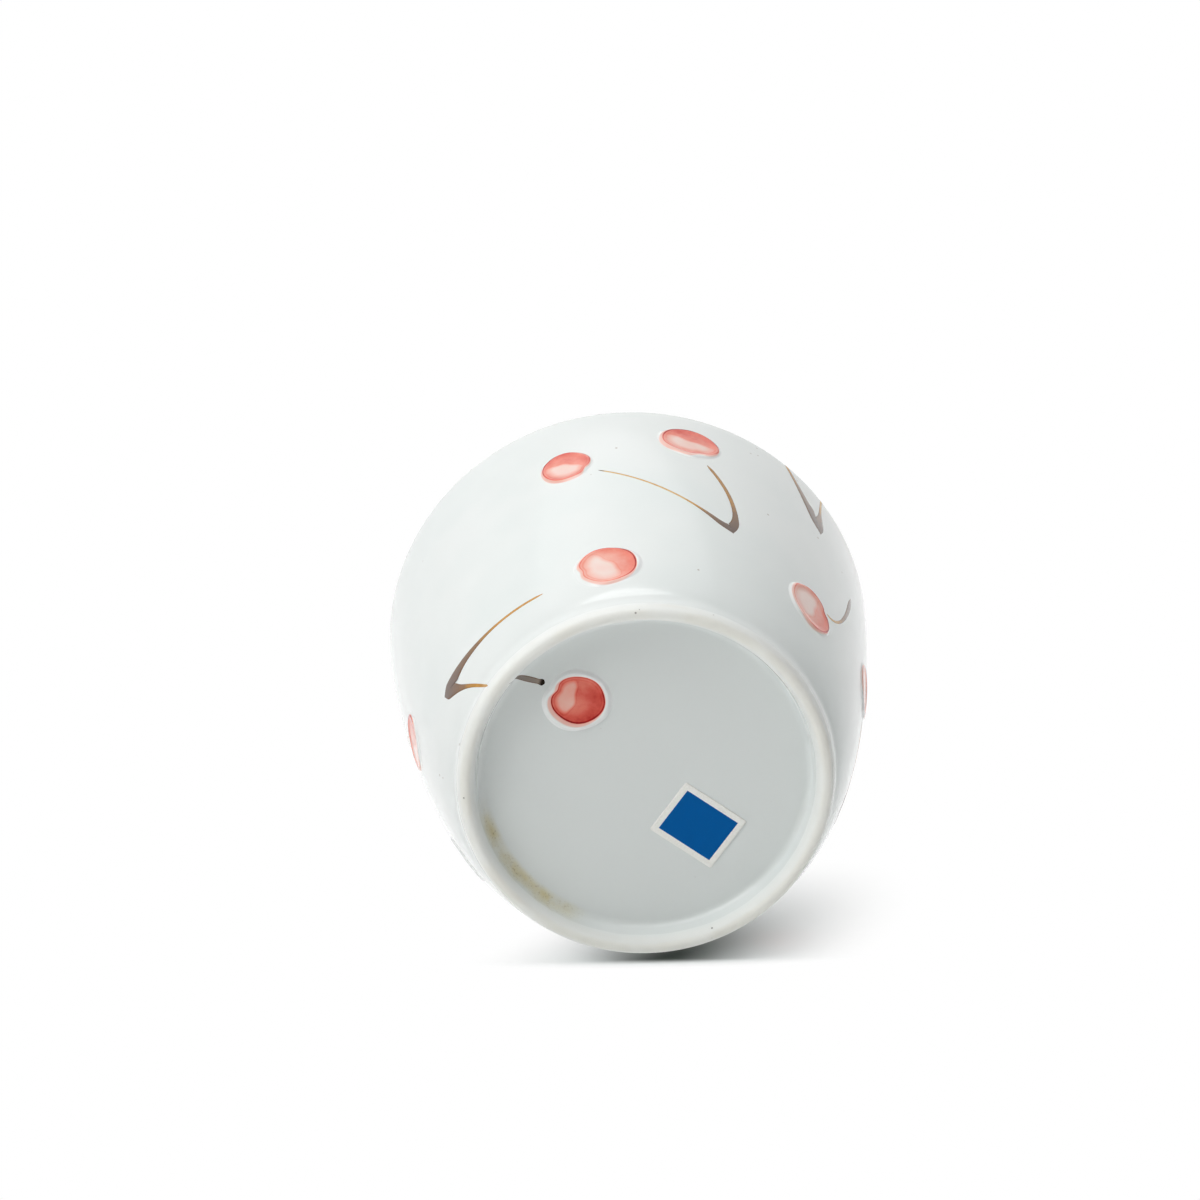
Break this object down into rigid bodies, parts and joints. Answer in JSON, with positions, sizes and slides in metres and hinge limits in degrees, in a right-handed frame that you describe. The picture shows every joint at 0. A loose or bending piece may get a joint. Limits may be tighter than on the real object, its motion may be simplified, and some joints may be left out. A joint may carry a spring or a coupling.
{
  "type": "soba choko cup",
  "caption": "Small flared porcelain cup on a bare foot ring, with raised red cherries on the wall; holds dipping sauce, tea or small servings.",
  "frame": {"origin": "middle of the foot ring's standing face, on the surface that the cup stands on", "axes": "+Z along the cup's axis, out of its mouth; -Y is the side that shows uppermost in the picture, +X is to the right there"},
  "size_m": [0.084, 0.084, 0.067],
  "materials": {
    "glazed_porcelain": "glossy clear glaze over white porcelain",
    "bare_foot": "matte unglazed crest, glazed sides",
    "cherry_relief": "raised white slip with a translucent red wash under gloss glaze",
    "label_paper": "satin printed paper with a plain white border"
  },
  "bodies": {
    "root": {"cup_body": "glazed_porcelain", "foot_ring": "bare_foot", "cherry_01": "cherry_relief", "cherry_02": "cherry_relief", "cherry_03": "cherry_relief", "cherry_04": "cherry_relief", "cherry_05": "cherry_relief", "cherry_06": "cherry_relief", "cherry_07": "cherry_relief", "cherry_08": "cherry_relief", "cherry_09": "cherry_relief", "cherry_10": "cherry_relief", "cherry_11": "cherry_relief", "cherry_12": "cherry_relief", "cherry_13": "cherry_relief", "cherry_14": "cherry_relief", "paper_label": "label_paper"}
  },
  "joints": []
}
